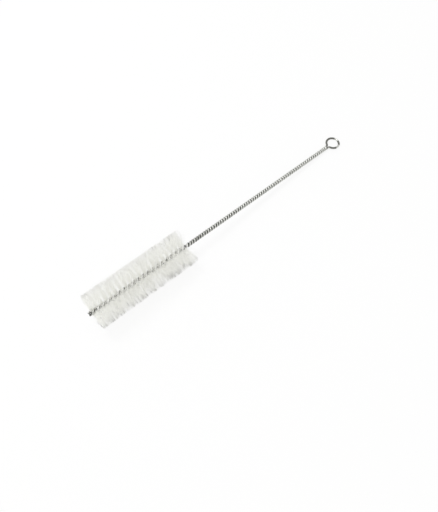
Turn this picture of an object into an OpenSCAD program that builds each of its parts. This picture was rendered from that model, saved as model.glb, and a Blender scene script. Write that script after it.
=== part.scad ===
// Twisted-wire bottle brush, lying at rest on its bristles and its hanging loop.
// One steel wire is folded in two. The fold is the hanging loop, and the two legs are twisted
// together, tightly along the handle and openly along the head, where they nip the filaments.

/* [Stem] */
// Length along the stem, from the cut wire ends to the far side of the loop
overall_l = 230; // [180:1:320]
// Diameter of the steel wire
wire_d = 1.5; // [0.8:0.05:2]
// Length of one turn of the handle's twist, in wire diameters
handle_lay = 2.7; // [2.6:0.05:8]
// Clearance between the two legs along the handle
leg_clearance = 0.08; // [0.04:0.02:0.4]

/* [Hanging loop] */
// Inside diameter of the loop
loop_inner_d = 8; // [6:0.1:16]
// Angle at which each leg leaves the stem at the neck of the loop
neck_spread = 58; // [45:1:65]
// Radius of the bend at the neck, to the middle of the wire
neck_bend_r = 1.6; // [1.3:0.1:2]

/* [Bristle head] */
// Diameter of the head across the filament tips
head_d = 26; // [14:0.5:40]
// Length of the stem that holds filaments
head_l = 76; // [40:1:110]
// Bare wire past the filaments at the tip
tip_l = 3.1; // [1:0.1:8]
// Length of one turn of the filament helix
head_lead = 7.74; // [6:0.02:14]
// Thickness of one nylon filament
filament_d = 0.15; // [0.1:0.01:0.3]
// Space between neighbouring filaments along the stem
filament_clearance = 0.015; // [0.01:0.005:0.1]
// Clearance between a filament and the wire on each side of it
nip_clearance = 0.04; // [0.02:0.01:0.2]
// Largest angle by which a filament fans out of the helix, to either side
filament_fan = 8; // [0:1:15]

/* [Hidden] */

// Facets of the swept wire and of a filament
wire_sides = 6;
rings_per_turn = 8;
bend_rings = 5;
half_loop_rings = 12;
filament_sides = 6;

// Wire and twist: a ring of the sweep sits a little outside its helix, so that the straight
// stretches between rings keep the full clearance to the middle of the stem
wire_r = wire_d / 2;
ring_reach = 1 / cos(180 / rings_per_turn);
handle_lead = handle_lay * wire_d;
handle_helix_r = ring_reach * helix_r_for(wire_d + leg_clearance, handle_lead);
head_helix_r = ring_reach * (wire_r + filament_d / 2 + nip_clearance) / cos(filament_fan);

// Hanging loop, in the stem's own frame: the tip is at x = 0 and the loop lies in the plane z = 0
loop_r = (loop_inner_d + wire_d) / 2;
loop_x = overall_l - wire_r - loop_r;
bend_y = handle_helix_r + neck_bend_r * (1 - cos(neck_spread));
bend_x = loop_x - (loop_r - bend_y * cos(neck_spread)) / sin(neck_spread);
neck_x = bend_x - neck_bend_r * sin(neck_spread);

// Filaments, counted from the back of the head towards the tip
filament_pitch = filament_d + filament_clearance;
filament_count = floor((head_l - filament_d) / filament_pitch) + 1;
head_back_x = tip_l + head_l;
last_filament_x = head_back_x - filament_d / 2;
rest_filament_x = last_filament_x - filament_pitch / 2;

// Twist along the stem: the head's rate, a change of rate behind the head, the handle's rate,
// and an untwisted neck. The handle takes a whole number of half turns, so that the legs open
// flat into the loop and the brush rests on the back of its head
change_l = handle_lead;
neck_l = handle_lead / 2;
handle_start_x = head_back_x + change_l;
handle_end_x = neck_x - neck_l;
head_rate = 360 / head_lead;
head_share = head_back_x - rest_filament_x + change_l / 2;
handle_share = change_l / 2 + handle_end_x - handle_start_x + neck_l / 2;
half_turns = floor((head_rate * head_share + 360 / handle_lead * handle_share) / 180);
handle_rate = (180 * half_turns - head_rate * head_share) / handle_share;

// Pose at rest: the back of the head and the far side of the loop touch the ground
rest_r = head_d / 2 * cos(head_rate * filament_pitch / 2);
rest_reach = overall_l - wire_r - last_filament_x;
rest_tilt = acos(wire_r / norm([rest_r, rest_reach])) - atan2(rest_reach, rest_r);
rest_lift = last_filament_x * sin(rest_tilt) + rest_r * cos(rest_tilt);
rest_mid_x = ((overall_l - wire_r) * cos(rest_tilt) + wire_r) / 2;

golden_ratio = (1 + sqrt(5)) / 2;

function unit(v) = v / norm(v);
function within(x, low, high) = min(max(x, low), high);

// Nearest distance between the middles of two twisted legs. In a tight twist it is not straight
// across the stem, but between one leg and the next turn of the other
function legs_apart(r, lead) =
    min([for (angle = [0 : 5 : 180]) norm([2 * r * cos(angle / 2), lead * angle / 360])]);

// Smallest radius of the twist that keeps the legs so far apart, found by halving
function helix_r_between(low, high, apart, lead, tries) =
    let (mid = (low + high) / 2)
    tries == 0 ? high
    : legs_apart(mid, lead) < apart ? helix_r_between(mid, high, apart, lead, tries - 1)
    : helix_r_between(low, mid, apart, lead, tries - 1);
function helix_r_for(apart, lead) = helix_r_between(apart / 2, apart, apart, lead, 14);

// Numbers from start up to, but not including, end, in equal steps
function steps(start, end, count) = [for (i = [0 : count - 1]) start + (end - start) * i / count];

// Angle gained by x on a stretch where the rate goes evenly from one value to another
function turned_on(x, start, length, rate, end_rate) =
    let (share = within((x - start) / length, 0, 1))
    length * (rate * share + (end_rate - rate) * share * share / 2);

// Angle gained from the tip to x
function turned(x) =
    turned_on(x, 0, head_back_x, head_rate, head_rate)
    + turned_on(x, head_back_x, change_l, head_rate, handle_rate)
    + turned_on(x, handle_start_x, handle_end_x - handle_start_x, handle_rate, handle_rate)
    + turned_on(x, handle_end_x, neck_l, handle_rate, 0);

// Angle of the first leg round the stem at x: the twist is left-handed and ends flat at the neck
function twist(x) = turned(neck_x) - turned(x);

function helix_r(x) = lookup(x, [[head_back_x, head_helix_r], [handle_start_x, handle_helix_r]]);

function rings_on(angle) = max(2, ceil(rings_per_turn * angle / 360));

// One leg of the wire, from the tip to the neck
leg_x = concat(
    steps(0, head_back_x, rings_on(turned(head_back_x))),
    steps(head_back_x, handle_start_x, rings_on(turned(handle_start_x) - turned(head_back_x))),
    steps(handle_start_x, handle_end_x, rings_on(turned(handle_end_x) - turned(handle_start_x))),
    steps(handle_end_x, neck_x, rings_on(turned(neck_x) - turned(handle_end_x)) + 2)
);
leg = [for (x = leg_x) [x, helix_r(x) * cos(twist(x)), helix_r(x) * sin(twist(x))]];

// The bend outwards at the neck, then half of the round loop
neck_bend = [
    for (angle = steps(0, neck_spread, bend_rings))
        [neck_x + neck_bend_r * sin(angle), handle_helix_r + neck_bend_r * (1 - cos(angle)), 0]
];
half_loop = [
    for (angle = steps(90 + neck_spread, 0, half_loop_rings))
        [loop_x + loop_r * cos(angle), loop_r * sin(angle), 0]
];

// The whole wire: the second half is the first, turned half way round the stem
half_wire = concat(leg, neck_bend, [[bend_x, bend_y, 0]], half_loop);
loop_end = [loop_x + loop_r, 0, 0];
other_half = [for (i = [len(half_wire) - 1 : -1 : 0]) [half_wire[i].x, -half_wire[i].y, -half_wire[i].z]];
wire_path = concat(half_wire, [loop_end], other_half);

// A round rod swept along a path, with both of its ends cut square to the given direction
module swept_rod(path, radius, sides, cut) {
    last = len(path) - 1;
    along = [
        for (i = [0 : last])
            i == 0 ? cut : i == last ? -cut : unit(path[i + 1] - path[i - 1])
    ];
    // A sideways direction carried along the path without twisting about it
    aside = [
        for (i = 0, v = [0, 0, 1]; i <= last; i = i + 1, v = i > last ? v : unit(v - (v * along[i]) * along[i]))
            v
    ];
    points = [
        for (i = [0 : last], k = [0 : sides - 1])
            let (angle = 360 * k / sides)
            path[i] + radius * (cos(angle) * aside[i] + sin(angle) * cross(along[i], aside[i]))
    ];
    walls = [
        for (i = [0 : last - 1], k = [0 : sides - 1])
            let (near = i * sides + k, next = i * sides + (k + 1) % sides)
            each [[near, near + sides, next + sides], [near, next + sides, next]]
    ];
    first_cap = [for (k = [0 : sides - 1]) k];
    last_cap = [for (k = [sides - 1 : -1 : 0]) last * sides + k];
    polyhedron(points, concat([first_cap], walls, [last_cap]), convexity = 10);
}

// From the stem's own frame to the pose at rest
module at_rest() {
    translate([-rest_mid_x, 0, rest_lift])
        rotate([0, rest_tilt, 0])
            children();
}

module stem_wire() {
    color("silver")
        at_rest()
            swept_rod(wire_path, wire_r, wire_sides, [1, 0, 0]);
}

// Straight nylon filaments, each nipped at its middle between the two legs
module bristles() {
    color("whitesmoke")
        at_rest()
            for (i = [0 : filament_count - 1]) {
                x = last_filament_x - i * filament_pitch;
                share = i / golden_ratio - floor(i / golden_ratio);
                fan = i < 2 ? 0 : filament_fan * (2 * share - 1);
                translate([x, 0, 0])
                    rotate([twist(x) + fan, 0, 0])
                        cylinder(d = filament_d, h = head_d, center = true, $fn = filament_sides);
            }
}

stem_wire();
bristles();
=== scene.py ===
"""The looks of a twisted-wire bottle brush: bright drawn wire and a full head of nylon filaments."""

import math
import random
from collections import namedtuple

import bpy
import numpy as np
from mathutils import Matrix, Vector


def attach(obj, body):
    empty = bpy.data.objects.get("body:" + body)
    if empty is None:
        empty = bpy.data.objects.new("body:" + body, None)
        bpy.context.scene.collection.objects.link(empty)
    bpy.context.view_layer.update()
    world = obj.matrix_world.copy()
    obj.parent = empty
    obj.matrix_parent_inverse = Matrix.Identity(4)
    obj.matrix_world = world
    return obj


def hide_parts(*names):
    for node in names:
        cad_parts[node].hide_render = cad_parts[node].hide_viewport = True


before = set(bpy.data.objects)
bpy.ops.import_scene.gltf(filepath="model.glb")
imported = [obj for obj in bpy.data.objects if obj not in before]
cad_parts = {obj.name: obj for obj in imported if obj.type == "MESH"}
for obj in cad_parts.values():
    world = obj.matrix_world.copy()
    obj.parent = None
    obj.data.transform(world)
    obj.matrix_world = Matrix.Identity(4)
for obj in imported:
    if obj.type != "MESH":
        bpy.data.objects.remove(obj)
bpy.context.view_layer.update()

MM = 0.001

# Sizes of the stem, with the length of one turn of the handle's twist in wire diameters
OVERALL_LENGTH = 230 * MM
WIRE_RADIUS = 0.75 * MM
HANDLE_LAY = 2.7
HANDLE_LEAD = HANDLE_LAY * 2 * WIRE_RADIUS
HANDLE_TWIST_RADIUS = 0.865 * MM
LOOP_INNER_RADIUS = 4 * MM
LOOP_RADIUS = LOOP_INNER_RADIUS + WIRE_RADIUS
NECK_SPREAD = math.radians(58)
NECK_BEND_RADIUS = 1.6 * MM

# Sizes of the head
HEAD_RADIUS = 13 * MM
HEAD_LENGTH = 76 * MM
BARE_TIP = 3.1 * MM
HEAD_LEAD = 7.74 * MM
NIP_HALF_GAP = 0.115 * MM
NIP_FAN = math.radians(8)

# Thickness and spacing of the solid filaments, on which the brush rests
SOLID_FILAMENT = 0.15 * MM
SOLID_PITCH = 0.165 * MM

# Rings and sides of the wire, and the bevel left by the cutter at its ends
WIRE_SIDES = 14
RINGS_PER_TURN = 22
FEWEST_RINGS = 4
BEND_RINGS = 10
HALF_LOOP_RINGS = 48
CUT_BEVEL = 0.15 * MM

# Painted highlights on the wire: a low level round the loop and bright at two places of it, brighter at
# the tip, and shifted along the handle
LOOP_HIGHLIGHT_LEVEL = 0.3
LOOP_HIGHLIGHT_PEAK = 0.9
LOOP_HIGHLIGHT_PLACES = (math.radians(5), math.radians(-82))
LOOP_HIGHLIGHT_SPREAD = math.radians(22)
TIP_HIGHLIGHT = 0.1
HANDLE_HIGHLIGHT_SHIFT = (-0.1, 0.27)

# Drawn steel: where its stem is nipped, its painted shade and painted highlight on the bare stem and among
# the filaments, uneven patches in the painted highlight, and its drawing lines
NIPPED_FROM = 5 * BARE_TIP
BARE_PAINTED_SHADE = (0.188, 0.19, 0.171, 1)
BARE_PAINTED_HIGHLIGHT = (0.655, 0.66, 0.627, 1)
NIPPED_PAINTED_SHADE = (0.06, 0.06, 0.055, 1)
NIPPED_PAINTED_HIGHLIGHT = (0.85, 0.85, 0.83, 1)
HIGHLIGHT_RANGE = (0.45, 0.95)
PATCH_SCALE = 0.3
PATCH_SPREAD = 0.9
LINE_SCALE = 1.6
LINE_STRETCH = (5.0, 5.0, 0.06)
LINE_STRENGTH = 0.25
LINE_DEPTH = 0.02 * MM
STEEL_GRAIN = 3.0
STEEL_ROUGHNESS = 0.36
HIGHLIGHT_SMOOTHER = 0.14
LINES_ROUGHER = 0.14

# Filaments: how many, where the first is rooted, how thick, where each half bends, and how it is trimmed
FILAMENT_COUNT = 2850
FIRST_ROOT = 1.4 * MM
ROOT_RADIUS = 0.0275 * MM
TIP_RADIUS = 0.055 * MM
FILAMENT_SIDES = 4
HALF_REACH = (0.08, 0.2, 0.5, 1)
TRIM_LOSS = 0.012
FILAMENT_SEED = 11

# How filaments stray from the helix of the nip, one by one and in clumps
NIP_REACH = 0.05
FAN_REACH = 0.14
ROW_SPREAD = math.radians(18)
TIP_CURL = math.radians(30)
TIP_STRAY = 1.6 * MM
CLUMP_SIZE = 10
CLUMP_FAN = math.radians(8)
CLUMP_STRAY = 1.2 * MM

# Locks, the tight clumps on the side that lies on the ground: how many, and how loose
LOCK_SHARE = 0.5
LOCK_LOOSE = 0.06

# The two ends of the head, where filaments lie over to the sides and are kept to the head's length
END_REACH = 4.0 * MM
END_LIE = math.radians(105)
FRONT_STRAY = 0.2 * MM
BACK_STRAY = 0.4 * MM

# Nylon: milky, greyer towards the tips, with painted shade on the tips of locks, and glowing with the
# light that it lets through
GREYEST_MILKY = (0.985, 0.985, 0.968, 1)
WHITEST_MILKY = (0.998, 0.998, 0.984, 1)
LOOSE_TIP = (0.82, 0.82, 0.8, 1)
LOCK_TIP_PAINTED_SHADE = (0.55, 0.55, 0.54, 1)
TIP_REACH = (0.7, 1.0)
NYLON_ROUGHNESS = 0.34
TINT_ROUGHER = 0.12
NYLON_IOR = 1.53
NYLON_GLOW = (0.995, 0.995, 0.983, 1)
GLOW_SHARE = 0.5

# Camera, looking down on the brush
CAMERA_TARGET = Vector((-19.0, -15.36, 0.0)) * MM
CAMERA_TURN = math.radians(-41.05)
CAMERA_ELEVATION = math.radians(63.2)
CAMERA_DISTANCE = 444.5 * MM
CAMERA_LENS = 44.92

# Light: a white tent, dimmer towards its top, and one large soft lamp, together at a plain level
WHITE = (1, 1, 1, 1)
TENT_FOOT = 1.14
TENT_TOP = 0.72
TENT_FOOT_RISE = 0.1
TENT_TOP_RISE = 0.6
LAMP_SIZE = 0.5
LAMP_POWER = 3.6
LAMP_PLACE = Vector((-0.2, 0.36, 1.0))
LAMP_TARGET = Vector((0.0, 0.0, 0.0))

# How many times light is followed from filament to filament, so that the head stays white inside
HEAD_BOUNCES = 32

# Floor: its size in metres, its faintly uneven paper, and how much of it is seen as plain white
FLOOR_SIZE = 8.0
DIMMER_PAPER = (0.935, 0.935, 0.93, 1)
WHITER_PAPER = (0.955, 0.955, 0.95, 1)
PAPER_SCALE = 3.0
PAPER_GRAIN = 2.0
PAPER_ROUGHNESS = 0.9
WHITE_GROUND = 0.85

# Places along the stem, from the tip
loop_x = OVERALL_LENGTH - WIRE_RADIUS - LOOP_RADIUS
head_twist_radius = (WIRE_RADIUS + NIP_HALF_GAP) / math.cos(NIP_FAN)
bend_y = HANDLE_TWIST_RADIUS + NECK_BEND_RADIUS * (1 - math.cos(NECK_SPREAD))
bend_x = loop_x - (LOOP_RADIUS - bend_y * math.cos(NECK_SPREAD)) / math.sin(NECK_SPREAD)
neck_x = bend_x - NECK_BEND_RADIUS * math.sin(NECK_SPREAD)
head_back_x = BARE_TIP + HEAD_LENGTH
last_filament_x = head_back_x - SOLID_FILAMENT / 2
rest_filament_x = last_filament_x - SOLID_PITCH / 2
change_length = HANDLE_LEAD
neck_length = HANDLE_LEAD / 2
handle_start_x = head_back_x + change_length
handle_end_x = neck_x - neck_length

# Rates of the twist, in radians for each metre of stem
head_rate = math.tau / HEAD_LEAD
head_share = head_back_x - rest_filament_x + change_length / 2
handle_share = change_length / 2 + handle_end_x - handle_start_x + neck_length / 2
half_turns = math.floor((head_rate * head_share + math.tau / HANDLE_LEAD * handle_share) / math.pi)
handle_rate = (math.pi * half_turns - head_rate * head_share) / handle_share

# The pose at rest, on the back of the head and the far side of the loop
rest_radius = HEAD_RADIUS * math.cos(head_rate * SOLID_PITCH / 2)
rest_reach = OVERALL_LENGTH - WIRE_RADIUS - last_filament_x
rest_span = math.hypot(rest_radius, rest_reach)
rest_tilt = math.acos(WIRE_RADIUS / rest_span) - math.atan2(rest_reach, rest_radius)
rest_lift = last_filament_x * math.sin(rest_tilt) + rest_radius * math.cos(rest_tilt)
rest_middle = ((OVERALL_LENGTH - WIRE_RADIUS) * math.cos(rest_tilt) + WIRE_RADIUS) / 2


def points(x, y, z):
    """Points from their three coordinates."""
    return np.stack(np.broadcast_arrays(x, y, z), axis=-1)


def unit(vectors):
    """The same directions, one unit long."""
    return vectors / np.linalg.norm(vectors, axis=-1, keepdims=True)


def at_rest(places):
    """Points of the stem's own frame, tip at zero and loop flat, in the pose at rest."""
    x, y, z = np.moveaxis(places, -1, 0)
    along = x * math.cos(rest_tilt) + z * math.sin(rest_tilt) - rest_middle
    up = z * math.cos(rest_tilt) - x * math.sin(rest_tilt) + rest_lift
    return points(along, y, up)


def turned_on(x, start, length, rate, end_rate):
    """The angle gained by x on a stretch where the rate goes evenly from one value to another."""
    share = np.clip((x - start) / length, 0, 1)
    return length * (rate * share + (end_rate - rate) * share**2 / 2)


def turned(x):
    """The angle gained from the tip to x."""
    return (
        turned_on(x, 0, head_back_x, head_rate, head_rate)
        + turned_on(x, head_back_x, change_length, head_rate, handle_rate)
        + turned_on(x, handle_start_x, handle_end_x - handle_start_x, handle_rate, handle_rate)
        + turned_on(x, handle_end_x, neck_length, handle_rate, 0)
    )


def twist(x):
    """The angle of the first leg round the stem: left-handed, and flat at the neck."""
    return turned(neck_x) - turned(x)


def ring_spokes(along, aside, sides):
    """Directions from the middle of each ring of a rod to the ring's corners."""
    angle = np.linspace(0, math.tau, sides, endpoint=False)[:, None]
    across = np.cross(along, aside)
    return np.cos(angle) * aside[..., None, :] + np.sin(angle) * across[..., None, :]


def rod_faces(rings, sides):
    """The faces of a closed rod whose corners come ring after ring, with a flat face at each end."""
    ring = np.arange(rings - 1)[:, None] * sides
    side = np.arange(sides)[None, :]
    after = (side + 1) % sides
    walls = np.stack([ring + side, ring + after, ring + sides + after, ring + sides + side], axis=-1)
    ends = [list(range(sides - 1, -1, -1)), list(range((rings - 1) * sides, rings * sides))]
    return walls.reshape(-1, 4), ends


def add_to_scene(name, data):
    """A new object of the scene, made from its mesh, lamp or camera."""
    thing = bpy.data.objects.new(name, data)
    bpy.context.scene.collection.objects.link(thing)
    return thing


def add_piece(name, corners, faces, material, node, values):
    """A mesh piece that stands for a CAD node, with a value at each corner under each name."""
    mesh = bpy.data.meshes.new(name)
    mesh.from_pydata(corners.reshape(-1, 3).tolist(), [], faces)
    for key, numbers in values.items():
        kind, field = ("FLOAT", "value") if numbers.ndim == 1 else ("FLOAT_VECTOR", "vector")
        attribute = mesh.attributes.new(key, kind, "POINT")
        attribute.data.foreach_set(field, numbers.astype(np.float32).ravel())
    mesh.materials.append(material)
    piece = add_to_scene(name, mesh)
    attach(piece, "root")
    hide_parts(node)
    return piece


# Shader sums
class Value:
    """The output of a node. A sum on it adds Math nodes."""

    def __init__(self, nodes, socket):
        self.nodes = nodes
        self.socket = socket

    def combined(self, operation, first, second):
        return self.nodes.add("ShaderNodeMath", {"operation": operation}, {0: first, 1: second})

    def __add__(self, other):
        return self.combined("ADD", self, other)

    def __radd__(self, other):
        return self.combined("ADD", other, self)

    def __sub__(self, other):
        return self.combined("SUBTRACT", self, other)

    def __rsub__(self, other):
        return self.combined("SUBTRACT", other, self)

    def __mul__(self, other):
        return self.combined("MULTIPLY", self, other)

    def __rmul__(self, other):
        return self.combined("MULTIPLY", other, self)


class Nodes:
    """The nodes of one material or of the surround."""

    def __init__(self, owner):
        owner.use_nodes = True
        self.tree = owner.node_tree
        self.tree.nodes.clear()

    def add(self, kind, settings=None, values=None, output=0):
        """One node of a kind: its settings, then the values or links of its sockets."""
        node = self.tree.nodes.new(kind)
        for key, setting in (settings or {}).items():
            setattr(node, key, setting)
        for key, value in (values or {}).items():
            if isinstance(value, Value):
                self.tree.links.new(value.socket, node.inputs[key])
            else:
                node.inputs[key].default_value = value
        return Value(self, node.outputs[output] if len(node.outputs) else None)

    def mix(self, share, first, second):
        """A colour between two others, by the sockets that a Mix node keeps for colours."""
        return self.add("ShaderNodeMix", {"data_type": "RGBA"}, {0: share, 6: first, 7: second}, 2)

    def corner(self, name, output="Fac"):
        """A value that the mesh holds at its corners."""
        return self.add("ShaderNodeAttribute", {"attribute_name": name}, output=output)

    def noise(self, place, scale, detail):
        """A soft, uneven value from 0 to 1, about one half on average."""
        return self.add("ShaderNodeTexNoise", {}, {"Vector": place, "Scale": scale, "Detail": detail})

    def between(self, value, low, high, new_low=0.0, new_high=1.0):
        """A value moved smoothly from one range to another, and held at its ends."""
        limits = {0: value, 1: low, 2: high, 3: new_low, 4: new_high}
        return self.add("ShaderNodeMapRange", {"interpolation_type": "SMOOTHSTEP"}, limits)


def drawn_steel():
    """Drawn wire with drawing lines: painted highlights along the crowns of the twist and painted shade in
    the hollows.
    """
    material = bpy.data.materials.new("drawn_steel")
    nodes = Nodes(material)
    place = nodes.corner("wire_place", "Vector")
    stretch = {0: place, 1: LINE_STRETCH}
    line_place = nodes.add("ShaderNodeVectorMath", {"operation": "MULTIPLY"}, stretch)
    lines = nodes.noise(line_place, LINE_SCALE, STEEL_GRAIN)
    patches = nodes.noise(place, PATCH_SCALE, STEEL_GRAIN)
    # The crown value paints the steel: painted highlight on the crowns, painted shade in the hollows, made
    # uneven by patches
    painted_highlight = nodes.corner("painted_highlight") + (patches - 0.5) * PATCH_SPREAD
    highlight_share = nodes.between(painted_highlight, *HIGHLIGHT_RANGE)
    nip = nodes.corner("nip")
    # Among the filaments the painted shade is darker and the painted highlight brighter
    shade_colour = nodes.mix(nip, BARE_PAINTED_SHADE, NIPPED_PAINTED_SHADE)
    highlight_colour = nodes.mix(nip, BARE_PAINTED_HIGHLIGHT, NIPPED_PAINTED_HIGHLIGHT)
    grooves = {"Strength": LINE_STRENGTH, "Distance": LINE_DEPTH, "Height": lines}
    shader = nodes.add("ShaderNodeBsdfPrincipled", {}, {
        "Base Color": nodes.mix(highlight_share, shade_colour, highlight_colour),
        "Metallic": 1.0,
        "Roughness": STEEL_ROUGHNESS - highlight_share * HIGHLIGHT_SMOOTHER + lines * LINES_ROUGHER,
        "Normal": nodes.add("ShaderNodeBump", {}, grooves, "Normal"),
    })
    nodes.add("ShaderNodeOutputMaterial", {}, {"Surface": shader})
    return material


def nylon():
    """Milky filament that lets some light through, each a little whiter or greyer than the next, greyer at
    the tips and with painted shade on the tips of locks.
    """
    material = bpy.data.materials.new("nylon")
    nodes = Nodes(material)
    tint = nodes.corner("tint")
    at_tip = nodes.between(nodes.corner("reach"), *TIP_REACH)
    milky = nodes.mix(tint, GREYEST_MILKY, WHITEST_MILKY)
    # Tips of locks, which point to the ground, carry painted shade
    tip_tone_and_shade = nodes.mix(nodes.corner("lock"), LOOSE_TIP, LOCK_TIP_PAINTED_SHADE)
    body = nodes.add("ShaderNodeBsdfPrincipled", {}, {
        "Base Color": nodes.mix(at_tip, milky, tip_tone_and_shade),
        "Roughness": NYLON_ROUGHNESS + tint * TINT_ROUGHER,
        "IOR": NYLON_IOR,
    })
    through = nodes.add("ShaderNodeBsdfTranslucent", {}, {"Color": NYLON_GLOW})
    shader = nodes.add("ShaderNodeMixShader", {}, {0: GLOW_SHARE, 1: body, 2: through})
    nodes.add("ShaderNodeOutputMaterial", {}, {"Surface": shader})
    return material


def plain_floor():
    """A white sweep, seen and mirrored as a white ground on which the shadow stays faint."""
    material = bpy.data.materials.new("plain_floor")
    nodes = Nodes(material)
    place = nodes.add("ShaderNodeTexCoord", output="Object")
    mottle = nodes.noise(place, PAPER_SCALE, PAPER_GRAIN)
    colour = nodes.mix(mottle, DIMMER_PAPER, WHITER_PAPER)
    sheet = nodes.add("ShaderNodeBsdfPrincipled", {}, {"Base Color": colour, "Roughness": PAPER_ROUGHNESS})
    white = nodes.add("ShaderNodeEmission", {}, {"Color": WHITE, "Strength": 1.0})
    looks = ["Is Camera Ray", "Is Glossy Ray", "Is Transmission Ray"]
    seen, mirrored, passed = [nodes.add("ShaderNodeLightPath", output=look) for look in looks]
    ground = nodes.add("ShaderNodeClamp", {}, {0: seen + mirrored + passed})
    shader = nodes.add("ShaderNodeMixShader", {}, {0: ground * WHITE_GROUND, 1: sheet, 2: white})
    nodes.add("ShaderNodeOutputMaterial", {}, {"Surface": shader})
    return material


def rings_between(start, end):
    """Places along the stem from start up to, but not at, end, spread over the twist."""
    count = max(FEWEST_RINGS, math.ceil(RINGS_PER_TURN * (turned(end) - turned(start)) / math.tau))
    return np.linspace(start, end, count, endpoint=False)


def wire_centre_line():
    """The whole wire: leg, neck and loop, and the same back again, turned half way round the stem."""
    stretches = [CUT_BEVEL, head_back_x, handle_start_x, handle_end_x, neck_x]
    x = np.concatenate([[0.0]] + [rings_between(a, b) for a, b in zip(stretches, stretches[1:])])
    radius = np.interp(x, [head_back_x, handle_start_x], [head_twist_radius, HANDLE_TWIST_RADIUS])
    leg = points(x, radius * np.cos(twist(x)), radius * np.sin(twist(x)))
    angle = np.linspace(0, NECK_SPREAD, BEND_RINGS)
    bend_across = HANDLE_TWIST_RADIUS + NECK_BEND_RADIUS * (1 - np.cos(angle))
    bend = points(neck_x + NECK_BEND_RADIUS * np.sin(angle), bend_across, 0)
    angle = np.linspace(math.pi / 2 + NECK_SPREAD, 0, HALF_LOOP_RINGS)
    loop = points(loop_x + LOOP_RADIUS * np.cos(angle), LOOP_RADIUS * np.sin(angle), 0)
    half = np.concatenate([leg, bend, loop])
    return np.concatenate([half, half[-2::-1] * (1, -1, -1)])


def carried_sideways(along):
    """A sideways direction at each ring, carried along the path without twisting about it."""
    sideways = []
    last = np.array([0.0, 0.0, 1.0])
    for direction in along:
        last = unit(last - last.dot(direction) * direction)
        sideways.append(last)
    return np.array(sideways)


def wire_place(path):
    """Places for the drawing lines: round the wire on a circle, and along it in millimetres."""
    angle = np.linspace(0, math.tau, WIRE_SIDES, endpoint=False)
    steps = np.linalg.norm(np.diff(path, axis=0), axis=1)
    travel = np.concatenate([[0], np.cumsum(steps)]) / MM
    return points(np.cos(angle), np.sin(angle), travel[:, None])


def loop_painted_highlight(path):
    """Painted highlight on the loop: a low level all round, and bright at two given places of it."""
    angle = np.arctan2(path[:, 1], path[:, 0] - loop_x)
    highlights = sum(np.exp(-(((angle - place) / LOOP_HIGHLIGHT_SPREAD) ** 2)) for place in LOOP_HIGHLIGHT_PLACES)
    return LOOP_HIGHLIGHT_LEVEL + LOOP_HIGHLIGHT_PEAK * highlights


def wire_painted_highlight(path, spokes):
    """Painted highlight on the wire: bright on the crowns that face out from the stem, painted shade in
    the hollows, shifted darker near the head and lighter towards the loop, brighter at the tip, and with
    the loop's own painted highlight.
    """
    # A hair's breadth keeps the outward side known where the wire crosses the middle of the stem
    hair = 1e-6 * MM
    outward = unit(path * (0, 1, 1) + (0, hair, 0))
    facing_out = (spokes * outward[:, None]).sum(axis=-1)
    # Painted highlight shifted along the handle: less after the head, more towards the neck
    handle_shift = np.interp(path[:, 0], [head_back_x, handle_start_x, neck_x], [0, *HANDLE_HIGHLIGHT_SHIFT])
    in_loop = np.clip((path[:, 0] - neck_x) / NECK_BEND_RADIUS, 0, 1)[:, None]
    on_stem = (1 - in_loop) * (facing_out + handle_shift[:, None])
    # Painted highlight at the tip, fading over the bare tip
    return on_stem + in_loop * loop_painted_highlight(path)[:, None] + TIP_HIGHLIGHT * np.exp(-path[:, :1] / BARE_TIP)


def stem_wire():
    """The folded wire, swept round and smooth from one cut end to the other."""
    path = wire_centre_line()
    along = unit(np.gradient(path, axis=0))
    along[0], along[-1] = (1, 0, 0), (-1, 0, 0)
    spokes = ring_spokes(along, carried_sideways(along), WIRE_SIDES)
    radius = np.full(len(path), WIRE_RADIUS)
    radius[[0, -1]] -= CUT_BEVEL
    walls, ends = rod_faces(len(path), WIRE_SIDES)
    # nip marks the stretch in the head, where the painted shade is darker and the painted highlight
    # brighter
    nip = np.interp(path[:, 0], [BARE_TIP, NIPPED_FROM, head_back_x, handle_start_x], [0, 1, 1, 0])
    wire = add_piece(
        name="stem_wire_drawn",
        corners=at_rest(path[:, None] + radius[:, None, None] * spokes),
        faces=walls.tolist() + ends,
        material=drawn_steel(),
        node="stem_wire",
        values={
            "wire_place": wire_place(path).reshape(-1, 3),
            "painted_highlight": wire_painted_highlight(path, spokes).ravel(),
            "nip": np.repeat(nip, WIRE_SIDES),
        },
    )
    wire.data.shade_smooth()


HalfClump = namedtuple("HalfClump", "locked loose fan curl stray")


def half_clump(draw, low):
    """How one half of a clump strays as a whole, and how loosely. Some that point down are locks."""
    locked = low and draw.random() < LOCK_SHARE
    return HalfClump(
        locked=float(locked),
        loose=LOCK_LOOSE if locked else 1.0,
        fan=draw.gauss(0, ROW_SPREAD if locked else CLUMP_FAN),
        curl=draw.gauss(0, TIP_CURL if locked else 0),
        stray=draw.uniform(-CLUMP_STRAY, CLUMP_STRAY),
    )


def end_lie(x):
    """How far a filament rooted at x is laid over to the side, as the outermost at both ends are."""
    pull = math.exp(-min(x - FIRST_ROOT, head_back_x - x) / END_REACH)
    return pull * math.remainder(END_LIE - twist(x), math.pi)


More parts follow.
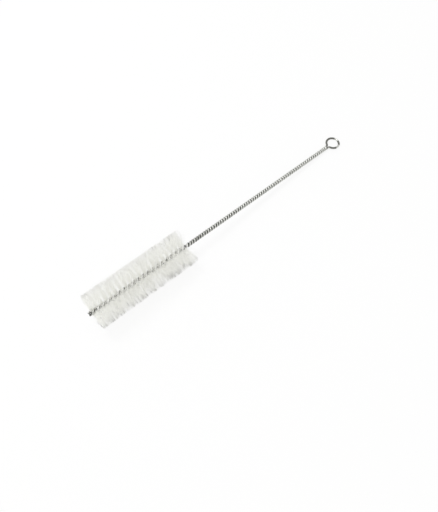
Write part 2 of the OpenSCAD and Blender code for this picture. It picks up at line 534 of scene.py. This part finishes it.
def filament_centre_lines(draw):
    """Each filament from tip to tip: straight in the nip, then fanning out towards its two ends.

    Returns the points of each filament, how far out each point is, and whether it is in a lock.
    """
    reach = np.array([-share for share in HALF_REACH[::-1]] + [0.0] + list(HALF_REACH))
    far = np.abs(reach)
    side = (reach > 0).astype(int)
    fanned = np.clip((far - NIP_REACH) / (FAN_REACH - NIP_REACH), 0, 1)
    root_length = head_back_x - FIRST_ROOT
    lines = []
    locks = []
    for index in range(FILAMENT_COUNT):
        x = FIRST_ROOT + root_length * (index + draw.random()) / FILAMENT_COUNT
        if index % CLUMP_SIZE == 0:
            rise = math.cos(twist(x))
            halves = [half_clump(draw, rise > 0), half_clump(draw, rise < 0)]
        fans = [draw.gauss(end_lie(x) + half.fan, half.loose * ROW_SPREAD) for half in halves]
        curls = [draw.gauss(half.curl, half.loose * TIP_CURL) for half in halves]
        strays = [draw.gauss(half.stray, half.loose * TIP_STRAY) for half in halves]
        strays = np.clip(strays, BARE_TIP - FRONT_STRAY - x, head_back_x + BACK_STRAY - x)
        trims = [1 - TRIM_LOSS * draw.random() for _ in halves]
        angle = twist(x) + np.take(fans, side) * fanned + np.take(curls, side) * far
        radius = HEAD_RADIUS * reach * np.take(trims, side)
        along = x + np.take(strays, side) * far
        lines.append(points(along, -radius * np.sin(angle), radius * np.cos(angle)))
        locks.append(np.take([half.locked for half in halves], side))
    return np.array(lines), far, np.array(locks)


def bristles():
    """The head: filaments nipped along the helix, fanned into soft rows and trimmed to one round.

    They are shaded flat, because smooth shading on so few sides would swallow light.
    """
    draw = random.Random(FILAMENT_SEED)
    lines, far, locks = filament_centre_lines(draw)
    tint = [draw.random() for _ in lines]
    along = unit(np.gradient(lines, axis=1))
    aside = unit(np.array([1.0, 0.0, 0.0]) - along[..., :1] * along)
    radius = ROOT_RADIUS + (TIP_RADIUS - ROOT_RADIUS) * far[:, None, None]
    corners = at_rest(lines[:, :, None] + radius * ring_spokes(along, aside, FILAMENT_SIDES))
    corners[..., 2] = np.maximum(corners[..., 2], 0)
    walls, ends = rod_faces(len(far), FILAMENT_SIDES)
    corner_count = len(far) * FILAMENT_SIDES
    starts = np.arange(FILAMENT_COUNT) * corner_count
    faces = (walls + starts[:, None, None]).reshape(-1, 4).tolist()
    faces += [[corner + start for corner in end] for start in starts.tolist() for end in ends]
    head = add_piece(
        name="bristles_nylon",
        corners=corners,
        faces=faces,
        material=nylon(),
        node="bristles",
        values={
            "tint": np.repeat(tint, corner_count),
            "reach": np.tile(np.repeat(far, FILAMENT_SIDES), FILAMENT_COUNT),
            # Painted shade on the tips of locks
            "lock": np.repeat(locks.ravel(), FILAMENT_SIDES),
        },
    )
    head.data.shade_flat()


def add_floor():
    """The ground, far wider than the picture."""
    half = FLOOR_SIZE / 2
    corners = [(-half, -half, 0), (half, -half, 0), (half, half, 0), (-half, half, 0)]
    mesh = bpy.data.meshes.new("floor")
    mesh.from_pydata(corners, [], [(0, 1, 2, 3)])
    mesh.materials.append(plain_floor())
    floor = add_to_scene("floor", mesh)


def add_tent():
    """The light tent: white cloth all round, dimmer towards its top."""
    world = bpy.data.worlds.new("light_tent")
    bpy.context.scene.world = world
    nodes = Nodes(world)
    direction = nodes.add("ShaderNodeTexCoord", output="Generated")
    rise = nodes.add("ShaderNodeSeparateXYZ", {}, {0: direction}, "Z")
    strength = nodes.between(rise, TENT_FOOT_RISE, TENT_TOP_RISE, TENT_FOOT, TENT_TOP)
    cloth = nodes.add("ShaderNodeBackground", {}, {"Color": WHITE, "Strength": strength})
    nodes.add("ShaderNodeOutputWorld", {}, {"Surface": cloth})


def aim(thing, place, target):
    """Puts a lamp or camera at a place and turns it to a target."""
    thing.location = place
    thing.rotation_euler = (target - place).to_track_quat("-Z", "Y").to_euler()


def add_lamp():
    """The soft lamp above the brush, a little behind it."""
    lamp = bpy.data.lights.new("soft_lamp", "AREA")
    lamp.shape = "DISK"
    lamp.size = LAMP_SIZE
    lamp.energy = LAMP_POWER
    aim(add_to_scene("soft_lamp", lamp), LAMP_PLACE, LAMP_TARGET)


def add_camera():
    """The camera, above the brush and on the side of its tip."""
    data = bpy.data.cameras.new("camera")
    data.lens = CAMERA_LENS
    camera = add_to_scene("camera", data)
    level = CAMERA_DISTANCE * math.cos(CAMERA_ELEVATION)
    back = Vector((math.sin(CAMERA_TURN), -math.cos(CAMERA_TURN), 0)) * level
    rise = Vector((0, 0, CAMERA_DISTANCE * math.sin(CAMERA_ELEVATION)))
    aim(camera, CAMERA_TARGET + back + rise, CAMERA_TARGET)
    bpy.context.scene.camera = camera


add_camera()
stem_wire()
bristles()
add_floor()
add_tent()
add_lamp()
bpy.context.scene.view_settings.view_transform = "Standard"
bpy.context.scene.cycles.max_bounces = HEAD_BOUNCES
bpy.context.scene.cycles.diffuse_bounces = HEAD_BOUNCES
